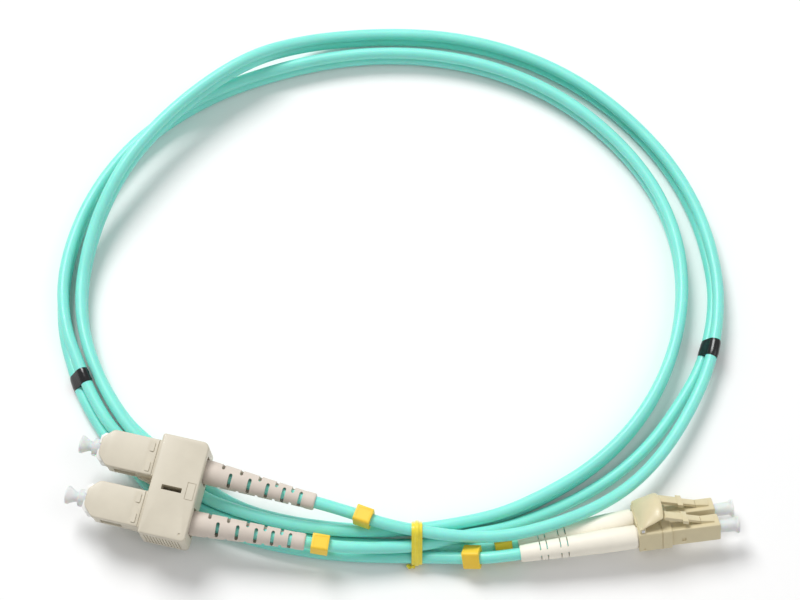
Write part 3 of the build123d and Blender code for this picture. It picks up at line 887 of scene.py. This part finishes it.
def joined_skin(name, outline, first, last, step=1):
    """A skin along the joined stretch; outline(half_gap, share) gives points in millimetres."""
    frames = joined_frames(first, last, step)
    rings = []
    for k, (middle, tall, side, half_gap) in enumerate(frames):
        points = outline(half_gap / MM, k / (len(frames) - 1))
        rings.append([middle + (tall * u + side * v) * MM for u, v in points])
    return loft(name, rings)


def web_outline(half_gap, share):
    """The thin web that joins the two legs, hollow on both sides."""
    near = [(-0.62, 0.8), (-0.3, 0.52), (0, 0.44), (0.3, 0.52), (0.62, 0.8)]
    return near + [(-u, -v) for u, v in near]


def band_outline(half_gap, share):
    """Heat shrink drawn in round both legs: full over each, waisted between them."""
    radius = CORD_D / MM / 2 + 0.32
    points = []
    for k in range(40):
        angle = math.tau * k / 40
        u = math.cos(angle) * (radius + half_gap)
        v = math.sin(angle) * radius * (1 - 0.13 * math.exp(-(math.cos(angle) * 2.6) ** 2))
        edge = min(share, 1 - share)
        swell = 1 - 0.05 * max(0, 1 - edge * 12) + 0.012 * math.sin(share * 31 + 3 * angle)
        stretch = (abs(math.cos(angle)) ** 0.75) * math.copysign(1, math.cos(angle))
        u = stretch * (radius + half_gap)
        points.append((u * swell, v * swell))
    return points


def marker(name):
    """A clip-on marker with a slit along its thin wall and a shallow panel on its back."""
    length, width, height = 4.1, 4.0, 4.7
    body = prism(name, round_box(width / 2, height / 2, 0.6, (0, -0.3)), -length / 2, length / 2, "X")
    soften(body, 0.15, 2, 50)
    return cut(
        body,
        rod("bore", (-5, 5), 1.62),
        block("slit", (-5, 5), (-0.3, 0.3), (0, 5)),
        block("panel", (-1.5, 1.5), (-1.3, 1.3), (-3.5, -2.58)),
    )


def run_place(points, i, share, roll=0.0):
    """A place on run i of a route: X along the run, Z as near up as it can be."""
    run = (points[i + 1] - points[i]).normalized()
    side = Vector((0, 0, 1)).cross(run).normalized()
    turn = Matrix((run, side, run.cross(side))).transposed().to_4x4()
    at = Matrix.Translation(points[i].lerp(points[i + 1], share))
    return at @ turn @ Matrix.Rotation(math.radians(roll), 4, "X") @ Matrix.Scale(MM, 4)


def build_on_cord():
    made = []
    web = joined_skin("cord_web", web_outline, 11.5, 70.5, 3)
    made.append(finish(web, Matrix(), MATERIALS["cord_jacket"], "root"))
    shrink = MATERIALS["heat_shrink"]
    for name, middle in (("band_sc", 11.5), ("band_lc", 70.5)):
        skin = joined_skin(f"{name}_shrink", band_outline, middle - 0.235, middle + 0.235)
        made.append(finish(skin, Matrix(), shrink, "root", [name]))
    last = len(route("a")) - 1
    spots = {
        "marker_sc_a": ("a", 0, 180),
        "marker_sc_b": ("b", 1, 180),
        "marker_lc_a": ("a", last - 2, 144),
        "marker_lc_b": ("b", last - 1, 142),
    }
    for node, (leg, run, roll) in spots.items():
        place = run_place(route(leg), run, 0.5, roll)
        clip = finish(marker(f"{node}_clip"), place, MATERIALS["marker"], "root", [node])
        made.append(clip)
    return made


# ---- twist tie --------------------------------------------------------------------------
def strands_at(x):
    """Where the cords cross the plane at x on the near side of the loop: (y, z) in mm."""
    found = []
    for line in lines.values():
        for a, b in zip(line, line[1:]):
            if (a.x - x) * (b.x - x) <= 0 and a.y < 0.02 and a.x != b.x:
                spot = a.lerp(b, (x - a.x) / (b.x - a.x))
                found.append((spot.y / MM, spot.z / MM))
    return found


def hull_round(spots, reach, steps=72):
    """A closed line that lies round all the strands, at a distance from their middles."""
    middle = Vector((sum(y for y, z in spots), sum(z for y, z in spots))) / len(spots)
    outline = []
    for k in range(steps):
        angle = math.tau * k / steps
        outward = Vector((math.cos(angle), math.sin(angle)))
        far = max((Vector(spot) - middle).dot(outward) for spot in spots) + reach
        outline.append((angle, far))
    line = []
    for k, (angle, far) in enumerate(outline):
        before = outline[k - 1][1]
        after = outline[(k + 1) % steps][1]
        slope = (after - before) / (2 * math.tau / steps)
        outward = Vector((math.cos(angle), math.sin(angle)))
        side = Vector((-math.sin(angle), math.cos(angle)))
        line.append(middle + outward * far + side * slope)
    return line


# The strip's section: place across it and height, in millimetres.
STRIP = [
    (-1.0, 0.0), (-0.95, 0.2), (-0.45, 0.24), (-0.25, 0.5),
    (0.25, 0.5), (0.45, 0.24), (0.95, 0.2), (1.0, 0.0),
]
STRIP_HALF = 1.3
STRIP_FOLD = 1.5
TAIL_HALF = 0.62


def tie_loop(name):
    """The plastic strip round the bundle, with the wire's ridge along its middle. It is
    folded narrow where it turns down behind the bundle."""
    spots = strands_at(TIE_X)
    line = hull_round(spots, CORD_D / MM / 2 + 0.12)
    back = max(point.x for point in line)
    rings = []
    for k, point in enumerate(line):
        along = (line[(k + 1) % len(line)] - line[k - 1]).normalized()
        outward = Vector((along.y, -along.x))
        width = STRIP_HALF * min(1, 0.25 + (back - point.x) / STRIP_FOLD)
        ring = []
        for across, high in STRIP:
            at = point + outward * high
            ring.append((TIE_X / MM + across * width, at.x, max(at.y, 0.05)))
        rings.append(ring)
    return loft(name, rings, closed=True), spots


def tie_tail(name, start, turns, length):
    """The two ends of the strip twisted round each other, narrowing to a flat tip."""
    section = STRIP + [(-across, -high) for across, high in STRIP]
    steps = 60
    rings = []
    for k in range(steps + 1):
        share = k / steps
        twist = Matrix.Rotation(math.tau * turns * share, 2)
        width = TAIL_HALF * min(1, (1.1 - share) / 0.3)
        middle = Vector((start[1] - 0.3 * math.sin(share * math.pi), start[2]))
        ring = []
        for across, high in section:
            at = middle + twist @ Vector((across * width, high * 0.6))
            ring.append((start[0] - length * share, at.x, at.y))
        rings.append(ring)
    return loft(name, rings)


def build_tie():
    loop, spots = tie_loop("twist_tie_loop")
    near = min(spots)
    tail = tie_tail("twist_tie_tail", (TIE_X / MM - 0.4, near[0] - 1.55, 0.75), 0.8, 2.1)
    place = Matrix.Scale(MM, 4)
    yellow = MATERIALS["twist_tie"]
    return [
        finish(loop, place, yellow, "root", ["twist_tie"]),
        finish(tail, place, yellow, "root"),
    ]


# ---- light and floor --------------------------------------------------------------------
def add_floor():
    reach = 6
    level = -0.0002
    corners = [(-reach, -reach), (reach, -reach), (reach, reach), (-reach, reach)]
    floor = from_faces("floor", [(x, y, level) for x, y in corners], [(0, 1, 2, 3)])
    made = material("floor_white", (0.93, 0.93, 0.93), 0.7, 0.004, 6, 900, 0.00001)
    floor.data.materials.append(made)


def add_light(name, at, size, power, target=(0, 0.05, 0)):
    data = bpy.data.lights.new(name, "AREA")
    data.shape = "DISK"
    data.size = size
    data.energy = power
    light = bpy.data.objects.new(name, data)
    bpy.context.scene.collection.objects.link(light)
    light.location = at
    light.rotation_mode = "QUATERNION"
    aim = Vector(target) - Vector(at)
    light.rotation_quaternion = aim.to_track_quat("-Z", "Y")


def add_world():
    world = bpy.data.worlds.new("studio")
    bpy.context.scene.world = world
    world.use_nodes = True
    background = world.node_tree.nodes["Background"]
    background.inputs["Color"].default_value = (1.0, 1.0, 1.0, 1)
    background.inputs["Strength"].default_value = 0.42


build_sc()
build_lc()
on_cord = build_on_cord() + build_tie()
for leg, jacket in cords.items():
    jacket.data.use_fill_caps = True
    jacket.data.materials.append(MATERIALS["cord_jacket"])
    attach(jacket, "root")
    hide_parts(f"cord_{leg}")
add_floor()
add_world()
add_light("key", (-0.5, 0.9, 1.3), 0.8, 20)
add_light("fill", (0.9, -0.3, 1.2), 1.2, 4)
